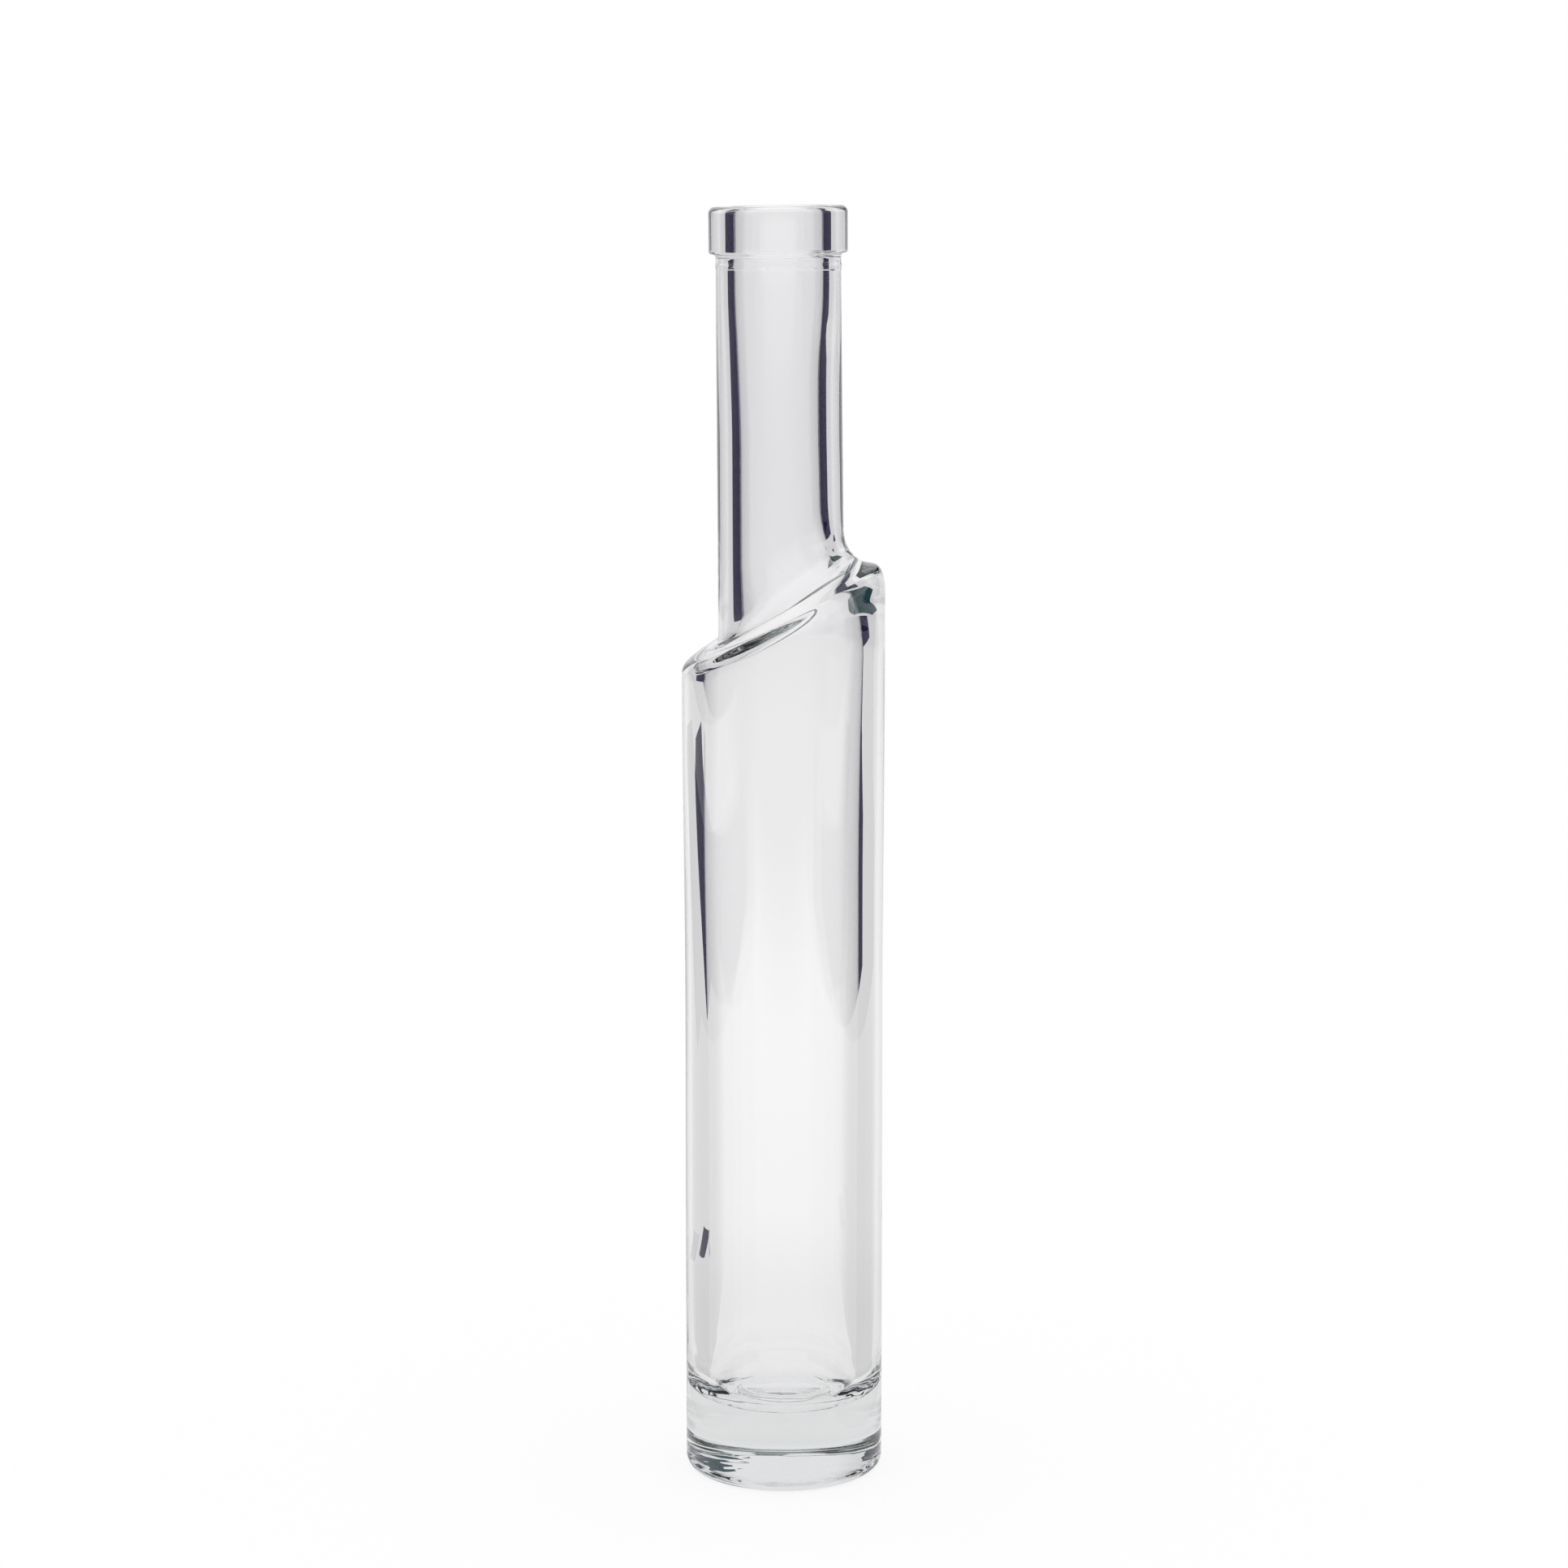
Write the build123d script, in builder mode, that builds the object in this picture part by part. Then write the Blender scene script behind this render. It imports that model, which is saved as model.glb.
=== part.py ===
"""Clear glass bottle with a slanting shoulder and a bar-top cork mouth, moulded in one piece.

Frame: millimetres, +Z up along the body's axis, origin at the centre of the foot, on the
plane that the bottle stands on. The shoulder is high at +X and low at -X.
"""

import os
from math import atan, cos

from build123d import *

# Body, outside: straight above the heel, then a faint waist and a swell up to the shoulder.
BODY_RADIUS = 21.0
STRAIGHT_HEIGHT = 45.0
WAIST_DEPTH = 0.15
SHOULDER_SWELL = 0.2
SWELL_DROP = 25.0

# Foot: a flat ring to stand on, between the rounded heel and a shallow hollow underneath.
HEEL_FILLET = 3.0
FOOT_RING_WIDTH = 3.0
PUNT_DEPTH = 1.6
PUNT_FILLET = 4.0

# Shoulder: its outer corner and the foot of the neck are ovals in two slanting planes.
# A rise is how far a plane climbs from the middle of its oval to the high side.
CORNER_HEIGHT = 183.4
CORNER_RISE = 10.3
CORNER_FILLET = 4.6
NECK_FOOT_LIFT = 4.6
NECK_FOOT_RISE = 8.9
NECK_FOOT_FILLET = 3.8

# Neck: it stands a little towards the low side, and narrows a little up to its collar.
NECK_OFFSET = -0.95
NECK_FOOT_RADIUS = 13.05
NECK_TOP_RADIUS = 12.85
NECK_LENGTH = 80.0
COLLAR_STEP = 1.45
COLLAR_HEIGHT = 9.7
COLLAR_FILLET_SHARE = 0.45
LIP_FILLET = 1.2

# Bore: a straight seat for the cork, then an easy taper to a slightly narrower throat.
MOUTH_RADIUS = 9.25
MOUTH_FILLET = 1.0
CORK_SEAT_LENGTH = 20.0
TAPER_LENGTH = 24.0
THROAT_RADIUS = 8.6

# Cavity: thick walls, and a thick base whose floor is domed inside a wide round corner. It
# stands a little towards the low side. Its shoulder and its throat's foot are two more ovals,
# each a drop below that of the outside.
WALL = 5.1
CAVITY_OFFSET = -0.4
BASE_GLASS = 15.9
FLOOR_RISE = 1.0
FLOOR_FILLET = 7.0
CAVITY_CORNER_DROP = 2.8
CAVITY_CORNER_RISE = 8.8
CAVITY_CORNER_FILLET = 1.5
THROAT_FOOT_DROP = 2.0
THROAT_FOOT_RISE = 8.1
THROAT_FOOT_FILLET = 2.5

# How far a solid runs past the plane that trims it.
OVERRUN = 2.0

SHOULDER_RADIUS = BODY_RADIUS + SHOULDER_SWELL
WAIST_RADIUS = BODY_RADIUS - WAIST_DEPTH
SWELL_HEIGHT = CORNER_HEIGHT - SWELL_DROP
WAIST_HEIGHT = (STRAIGHT_HEIGHT + SWELL_HEIGHT) / 2
SLANT_TOP = CORNER_HEIGHT + CORNER_RISE + OVERRUN
PUNT_RADIUS = BODY_RADIUS - HEEL_FILLET - FOOT_RING_WIDTH
PUNT_SPHERE_RADIUS = (PUNT_RADIUS**2 + PUNT_DEPTH**2) / (2 * PUNT_DEPTH)

CORNER_SLOPE = CORNER_RISE / SHOULDER_RADIUS
NECK_FOOT_SLOPE = NECK_FOOT_RISE / NECK_FOOT_RADIUS
NECK_FOOT_HEIGHT = CORNER_HEIGHT + NECK_FOOT_LIFT
NECK_START = NECK_FOOT_HEIGHT - NECK_FOOT_RISE - OVERRUN
MOUTH_HEIGHT = NECK_FOOT_HEIGHT + NECK_LENGTH
COLLAR_BOTTOM = MOUTH_HEIGHT - COLLAR_HEIGHT
COLLAR_RADIUS = NECK_TOP_RADIUS + COLLAR_STEP
COLLAR_FILLET = COLLAR_STEP * COLLAR_FILLET_SHARE

CAVITY_RADIUS = BODY_RADIUS - WALL
FLOOR_SPHERE_RADIUS = (CAVITY_RADIUS**2 + FLOOR_RISE**2) / (2 * FLOOR_RISE)
SEAT_BOTTOM = MOUTH_HEIGHT - CORK_SEAT_LENGTH
TAPER_BOTTOM = SEAT_BOTTOM - TAPER_LENGTH
CAVITY_CORNER_HEIGHT = CORNER_HEIGHT - CAVITY_CORNER_DROP
THROAT_FOOT_HEIGHT = NECK_FOOT_HEIGHT - THROAT_FOOT_DROP
THROAT_START = THROAT_FOOT_HEIGHT - THROAT_FOOT_RISE - OVERRUN
CAVITY_CORNER_SLOPE = CAVITY_CORNER_RISE / CAVITY_RADIUS
THROAT_FOOT_SLOPE = THROAT_FOOT_RISE / THROAT_RADIUS


def upright_plane(x):
    """An upright plane whose outlines are drawn as radius and height about an axis at this x."""
    return Plane(origin=(x, 0, 0), x_dir=(1, 0, 0), z_dir=(0, -1, 0))


def slant_plane(x, height, slope):
    """A plane through (x, 0, height) that climbs towards +X."""
    return Plane(origin=(x, 0, height), x_dir=(1, 0, slope), z_dir=(-slope, 0, 1))


def slant_oval(plane, radius, slope):
    """The oval where an upright round wall of this radius meets a slanting plane."""
    with BuildSketch(plane) as oval:
        Ellipse(radius / cos(atan(slope)), radius)
    return oval.sketch


def corner_at(outline, x, height):
    """The corner of an outline at this place."""
    return outline.vertices().sort_by_distance((x, height, 0))[0]


def rim_in(form, plane):
    """The edges of a form that lie in a slanting plane."""
    return form.edges().filter_by(lambda edge: plane.contains(edge @ 0.5))


def slanting_form(wide, narrow):
    """A wide round form below and a narrow one above, joined between two slanting ovals.

    Each is its outline, its radius, its axis' x, its oval's height and slope, and its fillet.
    """
    wide_outline, wide_radius, wide_x, wide_height, wide_slope, wide_fillet = wide
    narrow_outline, narrow_radius, narrow_x, narrow_height, narrow_slope, narrow_fillet = narrow
    corner = slant_plane(wide_x, wide_height, wide_slope)
    foot = slant_plane(narrow_x, narrow_height, narrow_slope)
    corner_oval = slant_oval(corner, wide_radius, wide_slope)
    foot_oval = slant_oval(foot, narrow_radius, narrow_slope)
    with BuildPart() as lower:
        revolve(wide_outline, axis=Axis((wide_x, 0, 0), (0, 0, 1)))
        split(bisect_by=corner, keep=Keep.BOTTOM)
    with BuildPart() as upper:
        revolve(narrow_outline, axis=Axis((narrow_x, 0, 0), (0, 0, 1)))
        split(bisect_by=foot, keep=Keep.TOP)
    with BuildPart() as form:
        loft(sections=[corner_oval, foot_oval], ruled=True)
        add(lower.part)
        add(upper.part)
        fillet(rim_in(form, corner), wide_fillet)
        fillet(rim_in(form, foot), narrow_fillet)
    return form.part


# Outside of the body: hollow underneath, bearing ring, heel, wall, and on up past the shoulder.
with BuildSketch(Plane.XZ) as body_outline:
    with BuildLine():
        RadiusArc((0, PUNT_DEPTH), (PUNT_RADIUS, 0), PUNT_SPHERE_RADIUS)
        Polyline((PUNT_RADIUS, 0), (BODY_RADIUS, 0), (BODY_RADIUS, STRAIGHT_HEIGHT))
        Spline(
            (BODY_RADIUS, STRAIGHT_HEIGHT),
            (WAIST_RADIUS, WAIST_HEIGHT),
            (SHOULDER_RADIUS, SWELL_HEIGHT),
            tangents=((0, 1), (0, 1)),
        )
        Polyline(
            (SHOULDER_RADIUS, SWELL_HEIGHT),
            (SHOULDER_RADIUS, SLANT_TOP),
            (0, SLANT_TOP),
            (0, PUNT_DEPTH),
        )
    make_face()
    fillet(corner_at(body_outline, BODY_RADIUS, 0), HEEL_FILLET)
    fillet(corner_at(body_outline, PUNT_RADIUS, 0), PUNT_FILLET)

# Outside of the neck, with the collar that the cork's head sits on.
with BuildSketch(upright_plane(NECK_OFFSET)) as neck_outline:
    with BuildLine():
        Polyline(
            (0, NECK_START),
            (NECK_FOOT_RADIUS, NECK_START),
            (NECK_FOOT_RADIUS, NECK_FOOT_HEIGHT + NECK_FOOT_RISE),
            (NECK_TOP_RADIUS, COLLAR_BOTTOM),
            (COLLAR_RADIUS, COLLAR_BOTTOM),
            (COLLAR_RADIUS, MOUTH_HEIGHT),
            (0, MOUTH_HEIGHT),
            close=True,
        )
    make_face()
    fillet(corner_at(neck_outline, COLLAR_RADIUS, MOUTH_HEIGHT), LIP_FILLET)
    fillet(corner_at(neck_outline, COLLAR_RADIUS, COLLAR_BOTTOM), COLLAR_FILLET)
    fillet(corner_at(neck_outline, NECK_TOP_RADIUS, COLLAR_BOTTOM), COLLAR_FILLET)

# Cavity inside the body: a domed floor with a round corner, and straight walls.
with BuildSketch(upright_plane(CAVITY_OFFSET)) as cavity_outline:
    with BuildLine():
        RadiusArc((0, BASE_GLASS + FLOOR_RISE), (CAVITY_RADIUS, BASE_GLASS), FLOOR_SPHERE_RADIUS)
        Polyline(
            (CAVITY_RADIUS, BASE_GLASS),
            (CAVITY_RADIUS, SLANT_TOP),
            (0, SLANT_TOP),
            (0, BASE_GLASS + FLOOR_RISE),
        )
    make_face()
    fillet(corner_at(cavity_outline, CAVITY_RADIUS, BASE_GLASS), FLOOR_FILLET)

# Bore of the neck, from below the shoulder out past the mouth.
with BuildSketch(upright_plane(NECK_OFFSET)) as bore_outline:
    with BuildLine():
        Polyline(
            (0, THROAT_START),
            (THROAT_RADIUS, THROAT_START),
            (THROAT_RADIUS, TAPER_BOTTOM),
            (MOUTH_RADIUS, SEAT_BOTTOM),
            (MOUTH_RADIUS, MOUTH_HEIGHT + OVERRUN),
            (0, MOUTH_HEIGHT + OVERRUN),
            close=True,
        )
    make_face()

outside = slanting_form(
    (body_outline.sketch, SHOULDER_RADIUS, 0, CORNER_HEIGHT, CORNER_SLOPE, CORNER_FILLET),
    (
        neck_outline.sketch,
        NECK_FOOT_RADIUS,
        NECK_OFFSET,
        NECK_FOOT_HEIGHT,
        NECK_FOOT_SLOPE,
        NECK_FOOT_FILLET,
    ),
)
inside = slanting_form(
    (
        cavity_outline.sketch,
        CAVITY_RADIUS,
        CAVITY_OFFSET,
        CAVITY_CORNER_HEIGHT,
        CAVITY_CORNER_SLOPE,
        CAVITY_CORNER_FILLET,
    ),
    (
        bore_outline.sketch,
        THROAT_RADIUS,
        NECK_OFFSET,
        THROAT_FOOT_HEIGHT,
        THROAT_FOOT_SLOPE,
        THROAT_FOOT_FILLET,
    ),
)

with BuildPart() as glass_bottle:
    add(outside)
    add(inside, mode=Mode.SUBTRACT)
    mouth = glass_bottle.edges().filter_by(GeomType.CIRCLE).group_by(Axis.Z)[-1]
    fillet(mouth.sort_by(SortBy.RADIUS)[0], MOUTH_FILLET)

os.makedirs("parts", exist_ok=True)
glass_bottle.part.label = "glass_bottle"
export_step(glass_bottle.part, "parts/glass_bottle.step")
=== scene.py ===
"""Looks of a clear glass bottle with a slanting shoulder and a cork mouth.

Sizes of the glass are in millimetres and are turned to metres where its mesh is made. Sizes
of the studio round it are in metres. The glass is one round form whose rings are tilted:
level at the foot, steep at the shoulder and almost level at the mouth.
"""

import math
from collections import namedtuple

import bpy
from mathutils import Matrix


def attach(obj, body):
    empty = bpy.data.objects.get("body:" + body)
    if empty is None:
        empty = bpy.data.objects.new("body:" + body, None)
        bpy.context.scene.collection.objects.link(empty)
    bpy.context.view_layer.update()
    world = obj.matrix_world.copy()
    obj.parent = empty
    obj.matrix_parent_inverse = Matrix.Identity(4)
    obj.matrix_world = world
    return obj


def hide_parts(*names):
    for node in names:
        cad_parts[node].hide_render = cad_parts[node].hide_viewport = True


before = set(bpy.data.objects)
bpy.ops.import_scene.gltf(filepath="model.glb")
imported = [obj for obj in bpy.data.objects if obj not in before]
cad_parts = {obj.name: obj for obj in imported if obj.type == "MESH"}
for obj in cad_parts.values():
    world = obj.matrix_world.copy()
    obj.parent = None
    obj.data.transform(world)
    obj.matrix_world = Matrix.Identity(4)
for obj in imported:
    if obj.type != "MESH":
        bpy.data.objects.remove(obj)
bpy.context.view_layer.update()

MM = 0.001
WHITE = "#FFFFFF"

# The camera of the photograph: its lens and the width of its frame, and where it stands.
CAMERA_LENS = 86.1
CAMERA_FRAME = 36
CAMERA_DISTANCE = 775.2
CAMERA_HEIGHT = 278.9
CAMERA_PITCH = math.radians(9.57)

# A corner of an outline: its radius and height, the rise of its ring from the middle to the
# high side, and the lean of the ring's centre off the body's axis. Its rounding starts at a
# reach before the corner and ends at a reach after it, and each reach may swing: it is longer
# by the swing on the high side, and shorter by it on the low side. A gather makes a reach
# longer near the high side alone. The ripple is how far the mould's and the press's unevenness
# moves the glass there.
CORNER_FIELDS = "radius height rise lean before after swing_before swing_after"
CORNER_FIELDS += " gather_before gather_after ripple"
Corner = namedtuple("Corner", CORNER_FIELDS, defaults=(0, 0, 0, 0, 0, 0, 0, 0, 0))
# A point of a rounded outline. On the high side the pull widens its ring, and the lift
# raises it.
Point = namedtuple("Point", "radius height rise lean pull lift ripple")

# The hollow underneath, the foot ring and the heel.
FOOT = [
    Corner(0, 1.6, ripple=0.22),
    Corner(12.6, 0.9, before=2.5, after=1.2, ripple=0.22),
    Corner(15.4, 0, before=0.4, after=0.4, ripple=0.08),
    Corner(21.0, 0, before=2.2, after=2.2, ripple=0.09),
]
# The outside of the body, with a faint waist, up to the shoulder's sharp outer corner.
BODY = [
    Corner(21.0, 9, before=1, after=1),
    Corner(21.0, 60, before=25, after=25),
    Corner(20.84, 112, before=20, after=20),
    Corner(21.2, 156, lean=-0.1, before=15, after=8),
    Corner(21.2, 183.4, 10.3, -0.15, before=2.9, after=1.75, swing_before=0.4, swing_after=0.5),
]
# The outside of the neck from the shoulder up, with the bead and the steps under the collar.
NECK = [
    Corner(13.05, 187.9, 8.9, -0.62, before=2.45, after=3.4, swing_before=2.0, swing_after=2.6),
    Corner(13.02, 214, 0, -0.82, before=12, after=12),
    Corner(12.86, 255.2, 0, -1.15, before=0.8, after=0.25),
    Corner(13.02, 255.9, 0.05, -1.15, before=0.25, after=0.25, ripple=0.16),
    Corner(12.86, 256.7, 0.1, -1.16, before=0.3, after=0.3, ripple=0.12),
    Corner(12.95, 258.3, 0.2, -1.17, before=0.6, after=0.6),
]
COLLAR = [
    Corner(14.3, 258.4, 0.22, -1.18, before=0.6, after=0.65),
    Corner(14.3, 268.0, 0.22, -1.24, before=1.4, after=1.4),
]
# The mouth's straight seat for the cork, the taper under it, and the throat.
THROAT = [
    Corner(9.25, 268.0, 0.14, -1.18, before=1.1, after=1.1),
    Corner(9.2, 248, 0, -1.06, before=4, after=4),
    Corner(8.45, 236, 0, -1.15, before=6, after=6),
    Corner(8.25, 222, 0, -0.92, before=5, after=4),
    Corner(8.4, 187.3, 9.15, -0.62, before=12.5, after=3.8, swing_before=1.6),
]
# The inside of the shoulder and the body, down to a floor with a low raised disc.
CAVITY_SHOULDER = Corner(
    16.7, 181.5, 8.9, -0.06, before=1.5, after=1.3, swing_before=-1.05, swing_after=0.45,
    gather_before=4.6, gather_after=11.6,
)
CAVITY = [
    CAVITY_SHOULDER,
    Corner(16.3, 140, 0, -0.45, before=15, after=15),
    Corner(16.0, 95, 0, -0.12, before=15, after=15),
    Corner(15.9, 40, 0, -0.2, before=12, after=12),
    Corner(15.9, 15.5, 0, -0.1, before=7.0, after=4.7, ripple=0.14),
    Corner(10.6, 15.7, before=0.5, after=0.5, ripple=0.05),
    Corner(9.3, 17.4, before=0.6, after=0.6),
    Corner(0, 17.6),
]

# How finely the outline and its sweep are divided, and the size of one wave of the ripples.
# A place that ripples by less than the least ripple counts as straight.
STRAIGHT_STEP = 2.4
RIPPLED_STEP = 0.9
LEAST_RIPPLE = 0.01
RIPPLE_WAVE = 4.0
RIPPLE_DETAIL = 1.5
ROUNDING_STEP = math.radians(6.0)
FEWEST_ROUNDING_STEPS = 4
SLICES = 256
MERGE_DISTANCE = 0.001

# The glass: how it bends light, the faint green that it takes on with its thickness, and what
# is left of the light that reaches the floor through it.
GLASS_IOR = 1.52
GLASS_GREEN = "#DAE0DF"
GLASS_DENSITY = 14.0
GLASS_SHADOW = "#F7F8F8"

# Black cards stand at both sides: how far to the side, where they end towards the camera, and
# the places (depth, height) of their edges away from it. They give the dark lines in the glass.
# A gap in the left one, and a flat foot in front of it, make its low dark line a spindle.
BLACK_CARD = "#221E42"
CARD_SIDE = 0.42
CARD_NEAR = -0.45
CARD_TOP = 0.3
LEFT_CARD_EDGE = [(0.36, 0), (0.45, 0.02), (0.54, 0.045), (0.5, 0.062), (0.42, 0.072)]
LEFT_CARD_EDGE += [(0.3, 0.086), (0.24, 0.075), (0.1, 0.062), (-0.4, 0.06), (-0.4, 0.1)]
LEFT_CARD_EDGE += [(0.15, 0.1), (0.48, 0.108), (0.48, CARD_TOP)]
RIGHT_CARD_EDGE = [(0.31, 0), (0.31, 0.045), (0.25, 0.07), (0.25, 0.11), (0.45, 0.145)]
RIGHT_CARD_EDGE += [(0.45, CARD_TOP)]
LEFT_CARD_FOOT = [(-0.42, 0.36), (-0.42, 0.15), (-0.345, 0.19)]
# A dark strip lies on the table, as corners (across, depth). It gives the short slanting bar
# low in the glass. Flat pieces lie this far above the table.
DARK_STRIP = [(-0.178, 0.070), (-0.156, 0.111), (-0.111, 0.119), (-0.137, 0.089)]
FLAT_HEIGHT = 0.001
# A dark teal card hangs high up behind the right side, as corners (across, depth). It gives the
# teal patch under the high corner.
TEAL_CARD = "#1F4247"
HIGH_CARD = [(0.5, 0.4), (1.2, 0.4), (1.2, 2.2), (0.5, 2.2)]
HIGH_CARD_HEIGHT = 0.6
# Grey nets of painted shade hang close beside the bottle. They are clearest at their far ends, and
# grey towards the camera, so that the glass is greyer towards its sides.
NET_SIDE = 0.05
NET_NEAR = -0.04
NET_FAR = 0.3
NET_TOP = 0.35
NET_PAINTED_SHADE = {"From Min": 0.04, "From Max": 0.16, "To Min": 0.76, "To Max": 1.0}
# A dim room is in front, behind the camera's line of cards: where its floor starts, how far it
# goes to the sides and the front, and how high. Its floor is brighter with depth, and its walls
# are brighter with height.
ROOM_NEAR = -0.3
ROOM_SIDE = 0.9
ROOM_FRONT = -1.2
ROOM_TOP = 0.4
ROOM_FLOOR_FADE = {"From Min": -0.8, "From Max": -0.3, "To Min": 0.22, "To Max": 0.97}
ROOM_WALL_FADE = {"From Min": 0.12, "From Max": 0.26, "To Min": 0.22, "To Max": 0.75}

# The floor: how far it reaches, how much of its white is the light on it, and how bright its
# painted glow is for glass and gloss at shares of its reach. That glow is darker near the bottle as
# a painted shadow, and dimmer towards its edge. The backdrop is how they see all the rest.
FLOOR_RADIUS = 1.6
FLOOR_SIDES = 96
PAPER = 0.14
FLOOR_TINT = "#FFFEFF"
FLOOR_LIGHT = [(0.0, 0.78), (0.025, 0.86), (0.07, 0.87), (0.13, 0.95)]
FLOOR_LIGHT += [(0.25, 0.97), (0.6, 0.98), (0.85, 0.94), (1.0, 0.89)]
BACKDROP = "#F2F0F2"


def linear(code, level=1.0):
    """An sRGB hex code as the linear colour of a shader, dimmed to a level."""
    parts = [int(code[i : i + 2], 16) / 255 for i in (1, 3, 5)]
    parts = [p / 12.92 if p <= 0.04045 else ((p + 0.055) / 1.055) ** 2.4 for p in parts]
    return (*(level * part for part in parts), 1)


def node(tree, kind, settings=None, **inputs):
    """Adds a node, sets its settings, and gives its inputs values or links.

    An input is named as its socket with underscores for spaces, or as _ and its number.
    """
    made = tree.nodes.new(kind)
    for name, value in (settings or {}).items():
        setattr(made, name, value)
    for name, value in inputs.items():
        key = int(name[1:]) if name[1:].isdigit() else name.replace("_", " ")
        if isinstance(value, bpy.types.NodeSocket):
            tree.links.new(value, made.inputs[key])
        else:
            made.inputs[key].default_value = value
    return made


def lerp(a, b, t):
    """The point at a share t of the way from a to b."""
    return Point(*(x + (y - x) * t for x, y in zip(a, b)))


def side(start, end):
    """The length and the direction of a straight side of an outline."""
    across, up = end.radius - start.radius, end.height - start.height
    return math.hypot(up, across), math.atan2(up, across)


def swung(point, way, swing, gather):
    """A point of an outline, sent along its side by the swing and gather of its reach."""
    along, up = math.cos(way), math.sin(way)
    return point._replace(
        rise=point.rise + swing * up,
        lean=point.lean + swing * along,
        pull=point.pull + gather * along,
        lift=point.lift + gather * up,
    )


def straight(a, b):
    """Even steps from a, which is left out, to b, and shorter ones where the glass ripples."""
    step = RIPPLED_STEP if max(a.ripple, b.ripple) > LEAST_RIPPLE else STRAIGHT_STEP
    steps = max(1, round(side(a, b)[0] / step))
    return [lerp(a, b, k / steps) for k in range(1, steps + 1)]


def rounded(corners):
    """The points of an outline, with each corner rounded by a conic that touches both sides."""
    places = [Point(*corner[:4], 0, 0, corner.ripple) for corner in corners]
    points = [places[0]]
    for k, corner in enumerate(corners[1:-1], 1):
        length_in, into = side(corners[k - 1], corner)
        length_out, out_of = side(corner, corners[k + 1])
        start = lerp(places[k], places[k - 1], corner.before / length_in)
        start = swung(start, into + math.pi, corner.swing_before, corner.gather_before)
        end = lerp(places[k], places[k + 1], corner.after / length_out)
        end = swung(end, out_of, corner.swing_after, corner.gather_after)
        turn = abs((out_of - into + math.pi) % (2 * math.pi) - math.pi)
        weight = math.cos(turn / 2)
        steps = max(FEWEST_ROUNDING_STEPS, round(turn / ROUNDING_STEP))
        points += straight(points[-1], start)
        for step in range(1, steps + 1):
            t = step / steps
            shares = ((1 - t) ** 2, 2 * weight * t * (1 - t), t**2)
            columns = zip(start, places[k], end)
            blend = [sum(s * v for s, v in zip(shares, values)) for values in columns]
            points.append(Point(*(value / sum(shares) for value in blend)))
    points += straight(points[-1], places[-1])
    return points


def outline_mesh(name, corners):
    """The outline as a line of points, each with how its ring tilts, leans and bulges."""
    points = rounded(corners)
    mesh = bpy.data.meshes.new(name)
    mesh.from_pydata([(point.radius * MM, 0, point.height * MM) for point in points], [], [])
    for attribute in ("rise", "lean", "pull", "lift", "ripple"):
        values = mesh.attributes.new(attribute, "FLOAT", "POINT").data
        values.foreach_set("value", [getattr(point, attribute) * MM for point in points])
    return mesh


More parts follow.
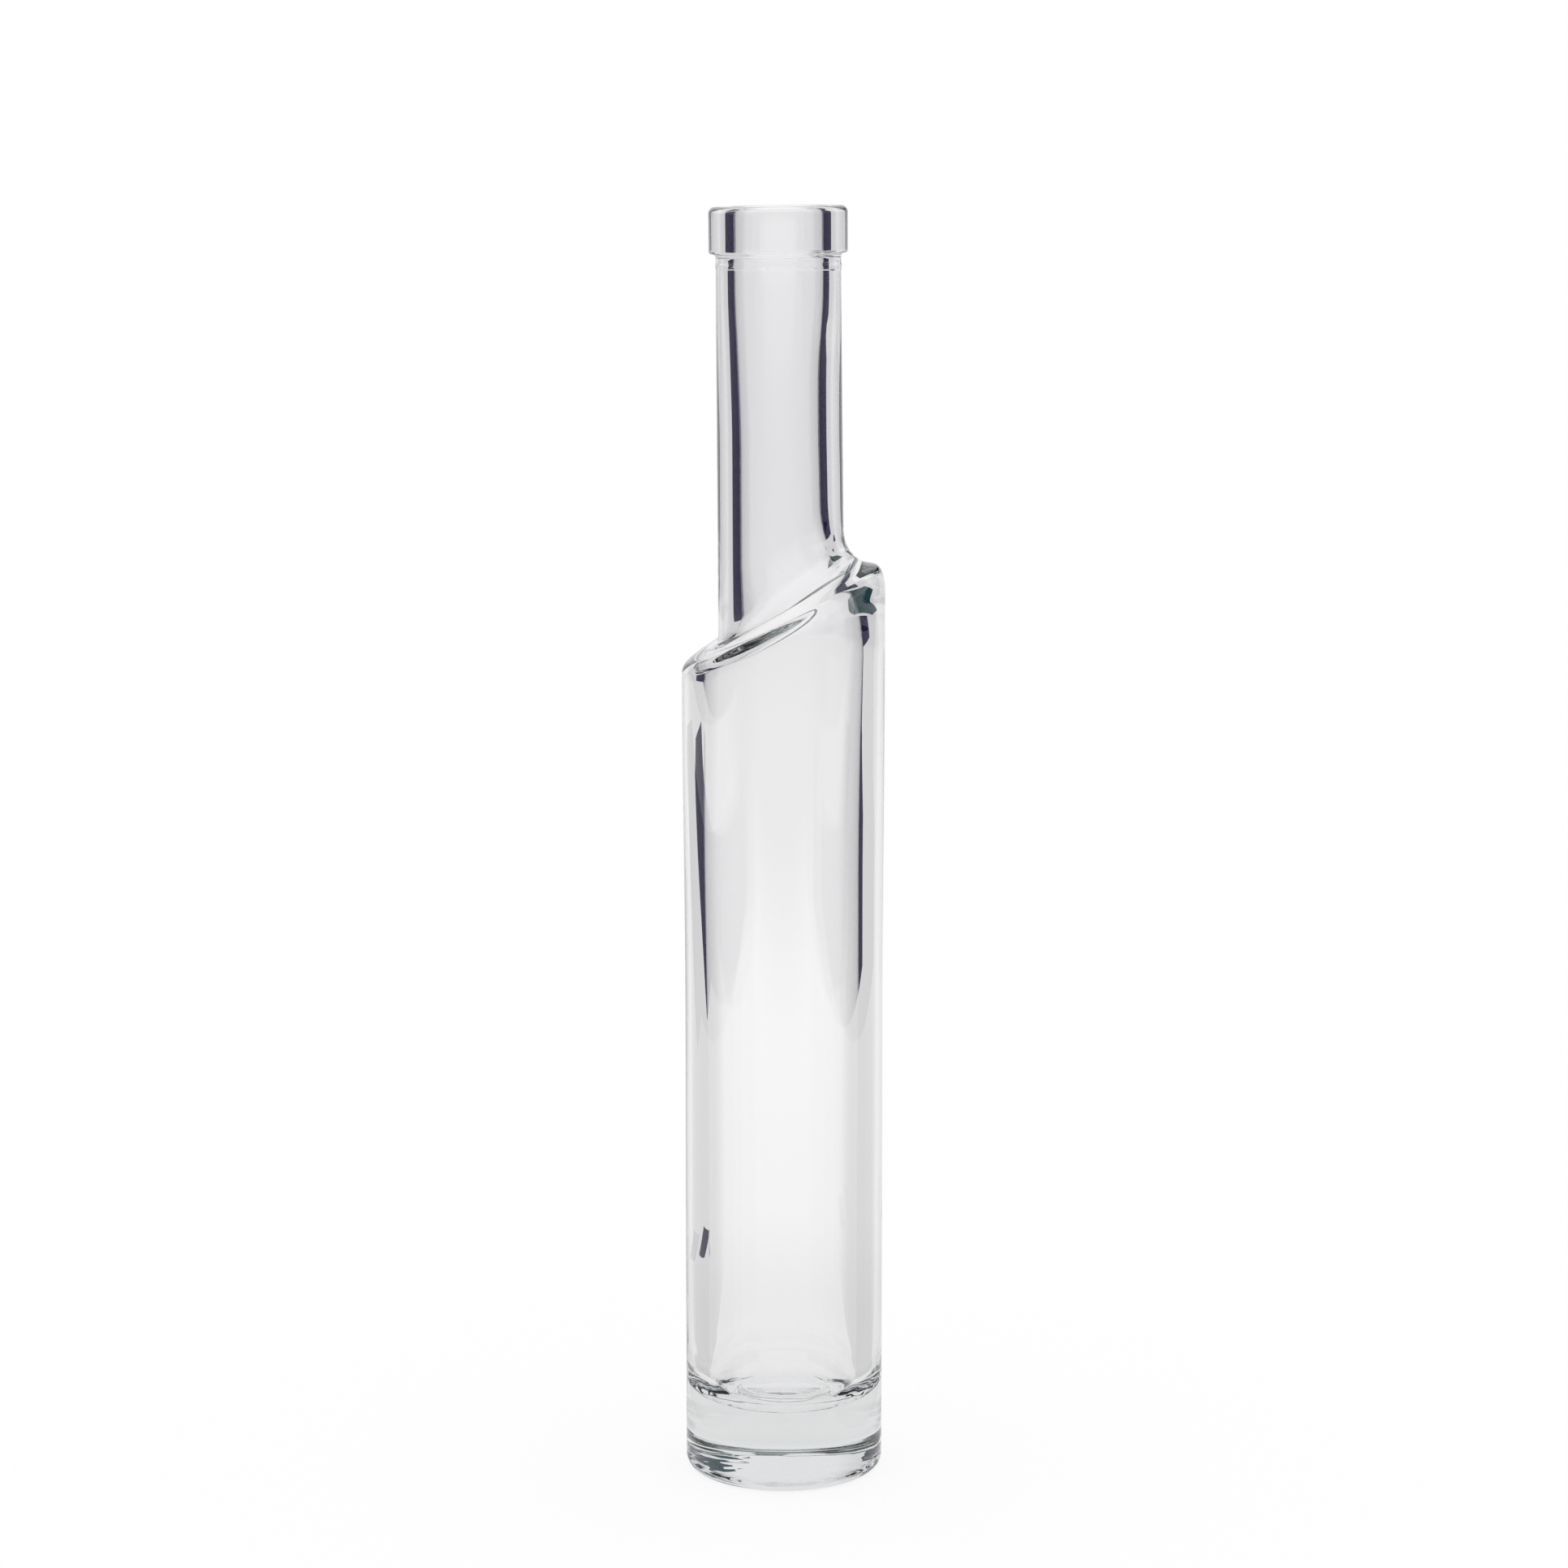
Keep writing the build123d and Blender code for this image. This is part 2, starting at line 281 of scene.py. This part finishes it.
def sweep_tree():
    """A tree that sweeps an outline round the bottle's axis, with each ring tilted and offset."""
    tree = bpy.data.node_groups.new("sweep_tilted_rings", "GeometryNodeTree")
    face = tree.interface
    face.new_socket("Geometry", in_out="INPUT", socket_type="NodeSocketGeometry")
    face.new_socket("Slices", in_out="INPUT", socket_type="NodeSocketInt")
    face.new_socket("Waves a Metre", in_out="INPUT", socket_type="NodeSocketFloat")
    face.new_socket("Material", in_out="INPUT", socket_type="NodeSocketMaterial")
    face.new_socket("Geometry", in_out="OUTPUT", socket_type="NodeSocketGeometry")

    def math_node(operation, *values):
        inputs = {f"_{k}": value for k, value in enumerate(values)}
        return node(tree, "ShaderNodeMath", {"operation": operation}, **inputs).outputs[0]

    given = node(tree, "NodeGroupInput")
    outline, slices = given.outputs["Geometry"], given.outputs["Slices"]

    # A grid with a row for each point of the outline and a column for each slice.
    rings = node(tree, "GeometryNodeAttributeDomainSize", Geometry=outline).outputs["Point Count"]
    columns = math_node("ADD", slices, 1)
    grid = node(tree, "GeometryNodeMeshGrid", Vertices_X=columns, Vertices_Y=rings)
    index = node(tree, "GeometryNodeInputIndex").outputs[0]
    ring = math_node("MODULO", index, rings)
    column = math_node("FLOOR", math_node("DIVIDE", index, rings))
    angle = math_node("MULTIPLY", math_node("DIVIDE", column, slices), math.tau)
    cosine = math_node("COSINE", angle)
    sine = math_node("SINE", angle)

    def of_ring(kind, value):
        settings = {"data_type": kind}
        made = node(tree, "GeometryNodeSampleIndex", settings, Geometry=outline, Index=ring)
        tree.links.new(value, made.inputs["Value"])
        return made.outputs[0]

    def named(attribute):
        value = node(tree, "GeometryNodeInputNamedAttribute", Name=attribute).outputs[0]
        return of_ring("FLOAT", value)

    # The grid is bent to rings. The high side is the one that the cosine points to.
    point = of_ring("FLOAT_VECTOR", node(tree, "GeometryNodeInputPosition").outputs[0])
    radius, _, height = node(tree, "ShaderNodeSeparateXYZ", Vector=point).outputs
    high_side = math_node("POWER", math_node("MAXIMUM", cosine, 0.0), 2.0)
    wide = math_node("MULTIPLY_ADD", named("pull"), high_side, radius)
    x = math_node("MULTIPLY_ADD", wide, cosine, named("lean"))
    y = math_node("MULTIPLY", wide, sine)
    lifted = math_node("MULTIPLY_ADD", named("lift"), high_side, height)
    z = math_node("MULTIPLY_ADD", named("rise"), cosine, lifted)
    place = node(tree, "ShaderNodeCombineXYZ", X=x, Y=y, Z=z).outputs[0]
    swept = node(tree, "GeometryNodeSetPosition", Geometry=grid.outputs["Mesh"], Position=place)

    # The noise goes from 0 to 1. Its swing from the middle, doubled, is the ripple.
    here = node(tree, "GeometryNodeInputPosition").outputs[0]
    waves = given.outputs["Waves a Metre"]
    noise = node(tree, "ShaderNodeTexNoise", Vector=here, Scale=waves, Detail=RIPPLE_DETAIL)
    settings = {"operation": "SUBTRACT"}
    colour, middle = noise.outputs["Color"], (0.5, 0.5, 0.5)
    swing = node(tree, "ShaderNodeVectorMath", settings, _0=colour, _1=middle).outputs[0]
    amount = math_node("MULTIPLY", named("ripple"), 2.0)
    settings = {"operation": "SCALE"}
    shift = node(tree, "ShaderNodeVectorMath", settings, _0=swing, Scale=amount).outputs[0]
    rippled = node(tree, "GeometryNodeSetPosition", Geometry=swept.outputs[0], Offset=shift)

    # The seam and both poles are closed.
    kind, reach = "GeometryNodeMergeByDistance", MERGE_DISTANCE * MM
    closed = node(tree, kind, Geometry=rippled.outputs[0], Distance=reach)
    smooth = node(tree, "GeometryNodeSetShadeSmooth", Geometry=closed.outputs[0])
    real = node(tree, "GeometryNodeRealizeInstances", Geometry=smooth.outputs[0]).outputs[0]
    material = given.outputs["Material"]
    painted = node(tree, "GeometryNodeSetMaterial", Geometry=real, Material=material)
    node(tree, "NodeGroupOutput", Geometry=painted.outputs[0])
    return tree


def swept_piece(name, corners, material):
    """A closed piece swept from its outline by the tree, as a plain mesh."""
    line = bpy.data.objects.new(name + "_line", outline_mesh(name + "_line", corners))
    bpy.context.scene.collection.objects.link(line)
    sweep = line.modifiers.new("sweep", "NODES")
    sweep.node_group = sweep_tree()
    values = {"Slices": SLICES, "Waves a Metre": 1 / (RIPPLE_WAVE * MM), "Material": material}
    for socket in sweep.node_group.interface.items_tree:
        if socket.in_out == "INPUT" and socket.name in values:
            sweep[socket.identifier] = values[socket.name]
    graph = bpy.context.evaluated_depsgraph_get()
    mesh = bpy.data.meshes.new_from_object(line.evaluated_get(graph), depsgraph=graph)
    bpy.data.objects.remove(line)
    mesh.name = name
    piece = bpy.data.objects.new(name, mesh)
    bpy.context.scene.collection.objects.link(piece)
    return piece


def new_material(name):
    """An empty material, and its tree."""
    material = bpy.data.materials.new(name)
    material.use_nodes = True
    material.node_tree.nodes.clear()
    return material, material.node_tree


def flint_glass():
    """Soda-lime flint glass, fire-polished: clear, with a faint green where it is thick."""
    material, tree = new_material("fire_polished_flint_glass")
    glass = node(
        tree,
        "ShaderNodeBsdfPrincipled",
        Base_Color=linear(WHITE),
        Roughness=0.0,
        IOR=GLASS_IOR,
        Transmission_Weight=1.0,
    )
    # The world's light reaches through the glass to the floor, so its shadow stays pale.
    clear = node(tree, "ShaderNodeBsdfTransparent", Color=linear(GLASS_SHADOW))
    ray = node(tree, "ShaderNodeLightPath")
    surface = node(
        tree,
        "ShaderNodeMixShader",
        Fac=ray.outputs["Is Shadow Ray"],
        _1=glass.outputs[0],
        _2=clear.outputs[0],
    )
    kind = "ShaderNodeVolumeAbsorption"
    green = node(tree, kind, Color=linear(GLASS_GREEN), Density=GLASS_DENSITY)
    node(tree, "ShaderNodeOutputMaterial", Surface=surface.outputs[0], Volume=green.outputs[0])
    return material


def seen_by_camera(tree):
    """1 for rays straight from the camera, and 0 for all others."""
    return node(tree, "ShaderNodeLightPath").outputs["Is Camera Ray"]


def faded(tree, value, ends):
    """A value that goes smoothly from one level to another between two places."""
    fade = node(tree, "ShaderNodeMapRange", {"interpolation_type": "SMOOTHSTEP"}, Value=value)
    for socket, level in ends.items():
        fade.inputs[socket].default_value = level
    return fade.outputs[0]


def own_place(tree):
    """The place on an object, in metres, in the object's own frame."""
    return node(tree, "ShaderNodeTexCoord").outputs["Object"]


def add_floor():
    """A pale floor, white where nothing shades it. Gloss and glass see a painted glow on it
    instead, with a painted shadow near the bottle's foot.
    """
    bpy.ops.mesh.primitive_circle_add(vertices=FLOOR_SIDES, radius=FLOOR_RADIUS, fill_type="NGON")
    floor = bpy.context.object
    floor.name = "floor"
    material, tree = new_material("matt_white_floor")
    paper = node(tree, "ShaderNodeBsdfDiffuse", Color=(PAPER, PAPER, PAPER, 1))
    glow = node(tree, "ShaderNodeEmission", Color=linear(WHITE), Strength=1 - PAPER)
    plain = node(tree, "ShaderNodeAddShader", _0=paper.outputs[0], _1=glow.outputs[0])

    # The glow that glass and gloss see is painted light: darker near the bottle's foot as a painted
    # shadow, and dimmer towards the floor's edge.
    settings = {"operation": "LENGTH"}
    reach = node(tree, "ShaderNodeVectorMath", settings, Vector=own_place(tree)).outputs["Value"]
    settings = {"operation": "DIVIDE"}
    share = node(tree, "ShaderNodeMath", settings, _0=reach, _1=FLOOR_RADIUS).outputs[0]
    ramp = node(tree, "ShaderNodeValToRGB", Fac=share)
    ramp.color_ramp.interpolation = "EASE"
    stops = ramp.color_ramp.elements
    while len(stops) < len(FLOOR_LIGHT):
        stops.new(1.0)
    for stop, (place, level) in zip(stops, FLOOR_LIGHT):
        stop.position = place
        stop.color = linear(FLOOR_TINT, level)
    painted_light = node(tree, "ShaderNodeEmission", Color=ramp.outputs[0], Strength=1.0)

    kind, straight_on = "ShaderNodeMixShader", seen_by_camera(tree)
    above = node(tree, kind, Fac=straight_on, _1=painted_light.outputs[0], _2=plain.outputs[0])
    below = node(tree, "ShaderNodeNewGeometry").outputs["Backfacing"]
    unseen = node(tree, "ShaderNodeBsdfTransparent")
    surface = node(tree, kind, Fac=below, _1=above.outputs[0], _2=unseen.outputs[0])
    node(tree, "ShaderNodeOutputMaterial", Surface=surface.outputs[0])
    material.cycles.emission_sampling = "NONE"
    floor.data.materials.append(material)


def light_world():
    """Even white light from all round, that gloss and glass see a little dimmer."""
    world = bpy.data.worlds.new("white_studio")
    bpy.context.scene.world = world
    world.use_nodes = True
    tree = world.node_tree
    tree.nodes.clear()
    ray = node(tree, "ShaderNodeLightPath")
    bare = node(
        tree,
        "ShaderNodeMath",
        {"operation": "MAXIMUM"},
        _0=ray.outputs["Is Glossy Ray"],
        _1=ray.outputs["Is Transmission Ray"],
    )
    # Inputs 6 and 7, and output 2, are the Mix node's colours.
    colour = node(
        tree,
        "ShaderNodeMix",
        {"data_type": "RGBA"},
        _0=bare.outputs[0],
        _6=linear(WHITE),
        _7=linear(BACKDROP),
    )
    white = node(tree, "ShaderNodeBackground", Color=colour.outputs[2], Strength=1.0)
    node(tree, "ShaderNodeOutputWorld", Surface=white.outputs[0])


def panel(name, camera, corners, material):
    """A panel that only gloss and glass see. It is parented to the camera, and goes with it."""
    mesh = bpy.data.meshes.new(name)
    mesh.from_pydata(corners, [], [list(range(len(corners)))])
    mesh.materials.append(material)
    made = bpy.data.objects.new(name, mesh)
    bpy.context.scene.collection.objects.link(made)
    made.visible_camera = False
    made.visible_diffuse = False
    made.visible_shadow = False
    made.parent = camera
    made.matrix_parent_inverse = camera.matrix_basis.inverted()


def flat(corners, height=FLAT_HEIGHT):
    """The corners of a level panel."""
    return [(x, y, height) for x, y in corners]


def card_paper(name, colour, axis=2, ends=None):
    """Plain paper that shines evenly, or more or less brightly along one of its axes."""
    material, tree = new_material(name)
    strength = 1.0
    if ends:
        place = node(tree, "ShaderNodeSeparateXYZ", Vector=own_place(tree)).outputs[axis]
        strength = faded(tree, place, ends)
    paper = node(tree, "ShaderNodeEmission", Color=linear(colour), Strength=strength)
    node(tree, "ShaderNodeOutputMaterial", Surface=paper.outputs[0])
    material.cycles.emission_sampling = "NONE"
    return material


def painted_shade_net():
    """A thin net of painted shade: clearest at its far end, and grey towards the camera, so that
    the glass is greyer towards its sides.
    """
    material, tree = new_material("painted_shade_net")
    depth = node(tree, "ShaderNodeSeparateXYZ", Vector=own_place(tree)).outputs[1]
    level = faded(tree, depth, NET_PAINTED_SHADE)
    grey = node(tree, "ShaderNodeCombineColor", _0=level, _1=level, _2=level).outputs[0]
    shade_sheet = node(tree, "ShaderNodeBsdfTransparent", Color=grey)
    node(tree, "ShaderNodeOutputMaterial", Surface=shade_sheet.outputs[0])
    return material


def add_cards(camera):
    """Black cards and grey nets of painted shade at both sides, dark pieces on the table, and the
    teal card.
    """
    black = card_paper("black_card", BLACK_CARD)
    shade_sheet = painted_shade_net()
    for name, way, edge in (("left", -1, LEFT_CARD_EDGE), ("right", 1, RIGHT_CARD_EDGE)):
        x = way * CARD_SIDE
        corners = [(x, CARD_NEAR, 0), *((x, y, z) for y, z in edge), (x, CARD_NEAR, CARD_TOP)]
        panel(name + "_card", camera, corners, black)
        # The nets are painted shade that makes the glass greyer towards its sides.
        x = way * NET_SIDE
        corners = [(x, NET_NEAR, 0), (x, NET_FAR, 0), (x, NET_FAR, NET_TOP), (x, NET_NEAR, NET_TOP)]
        panel(name + "_net", camera, corners, shade_sheet)
    panel("dark_strip", camera, flat(DARK_STRIP), black)
    panel("left_card_foot", camera, flat(LEFT_CARD_FOOT), black)
    teal = card_paper("teal_card", TEAL_CARD)
    panel("high_card", camera, flat(HIGH_CARD, HIGH_CARD_HEIGHT), teal)


def add_room(camera):
    """The dim room in front: its walls, from one black card round to the other, and its floor."""
    wall = card_paper("dim_wall", WHITE, 2, ROOM_WALL_FADE)
    places = [(-CARD_SIDE, CARD_NEAR), (-ROOM_SIDE, CARD_NEAR), (-ROOM_SIDE, ROOM_FRONT)]
    places += [(ROOM_SIDE, ROOM_FRONT), (ROOM_SIDE, CARD_NEAR), (CARD_SIDE, CARD_NEAR)]
    for k, (a, b) in enumerate(zip(places, places[1:])):
        corners = [(*a, 0), (*b, 0), (*b, ROOM_TOP), (*a, ROOM_TOP)]
        panel(f"room_wall_{k}", camera, corners, wall)
    corners = [(-ROOM_SIDE, ROOM_NEAR), (-ROOM_SIDE, ROOM_FRONT)]
    corners += [(ROOM_SIDE, ROOM_FRONT), (ROOM_SIDE, ROOM_NEAR)]
    paper = card_paper("dim_floor", WHITE, 1, ROOM_FLOOR_FADE)
    panel("room_floor", camera, flat(corners), paper)


def add_camera():
    """The camera of the photograph, as the scene's own."""
    data = bpy.data.cameras.new("camera")
    data.lens = CAMERA_LENS
    data.sensor_width = CAMERA_FRAME
    camera = bpy.data.objects.new("camera", data)
    bpy.context.scene.collection.objects.link(camera)
    camera.location = (0, -CAMERA_DISTANCE * MM, CAMERA_HEIGHT * MM)
    camera.rotation_euler = (math.pi / 2 - CAMERA_PITCH, 0, 0)
    bpy.context.scene.camera = camera
    return camera


bottle = swept_piece("bottle_glass", FOOT + BODY + NECK + COLLAR + THROAT + CAVITY, flint_glass())
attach(bottle, "root")
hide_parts("glass_bottle")

add_floor()
light_world()
camera = add_camera()
add_cards(camera)
add_room(camera)

# Light crosses the thick glass many times on its way, so its bounces aren't cut short.
scene = bpy.context.scene
scene.view_settings.view_transform = "Standard"
scene.cycles.max_bounces = 40
scene.cycles.transmission_bounces = 40
scene.cycles.glossy_bounces = 20
scene.cycles.transparent_max_bounces = 16
